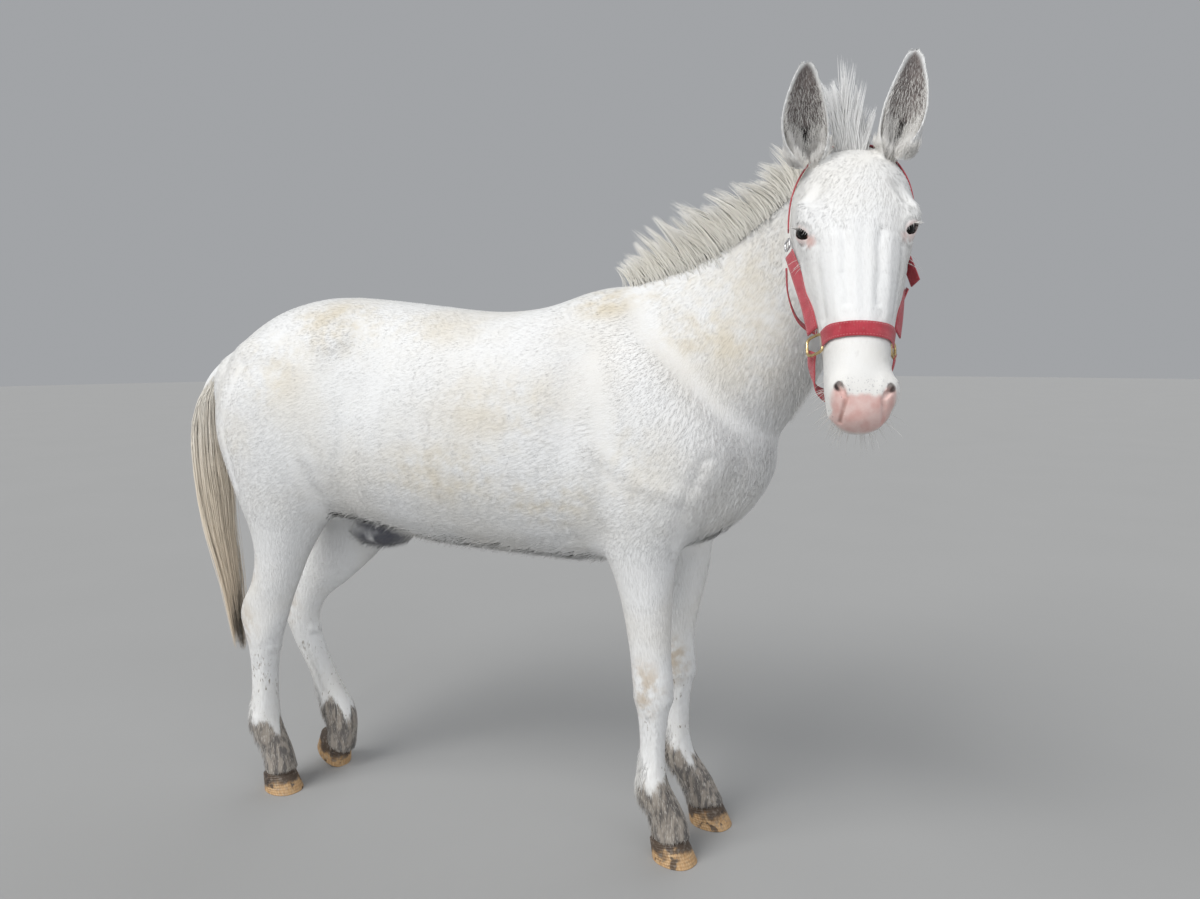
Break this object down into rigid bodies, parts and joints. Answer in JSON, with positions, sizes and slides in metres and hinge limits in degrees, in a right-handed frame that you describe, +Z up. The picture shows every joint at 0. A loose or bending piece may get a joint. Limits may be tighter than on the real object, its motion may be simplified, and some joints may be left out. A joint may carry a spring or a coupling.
{
  "type": "mule",
  "caption": "Standing mule, head turned back over its right side, one hind hoof tipped on its toe, upright mane, long tail, webbing halter. Still, life-size model.",
  "frame": {"origin": "on the floor, under the middle of the whole animal's bounding box", "axes": "+X towards the front of the body, +Y towards the mule's left side, +Z up"},
  "size_m": [1.7359, 0.6785, 1.5745],
  "materials": {
    "white_coat": "short white coat over flesh",
    "cream_hair": "long cream hair",
    "hoof_horn": "dull hoof horn",
    "eye": "wet black eye",
    "red_webbing": "flat woven webbing",
    "brass": "polished",
    "steel": "polished"
  },
  "bodies": {
    "root": {"torso": "white_coat", "neck": "white_coat", "head": "white_coat", "ear_right": "white_coat", "ear_left": "white_coat", "eye_right": "eye", "eye_left": "eye", "foreleg_right_upper": "white_coat", "foreleg_right_lower": "white_coat", "foreleg_right_hoof": "hoof_horn", "foreleg_left_upper": "white_coat", "foreleg_left_lower": "white_coat", "foreleg_left_hoof": "hoof_horn", "hindleg_right_upper": "white_coat", "hindleg_right_lower": "white_coat", "hindleg_right_hoof": "hoof_horn", "hindleg_left_upper": "white_coat", "hindleg_left_lower": "white_coat", "hindleg_left_hoof": "hoof_horn", "mane": "cream_hair", "forelock": "cream_hair", "tail": "cream_hair", "halter_noseband": "red_webbing", "halter_cheek_right": "red_webbing", "halter_cheek_left": "red_webbing", "halter_crown": "red_webbing", "halter_throat": "red_webbing", "halter_chin": "red_webbing", "halter_loose_end": "red_webbing", "halter_ring_right": "brass", "halter_ring_left": "brass", "halter_buckle": "steel"}
  },
  "joints": []
}
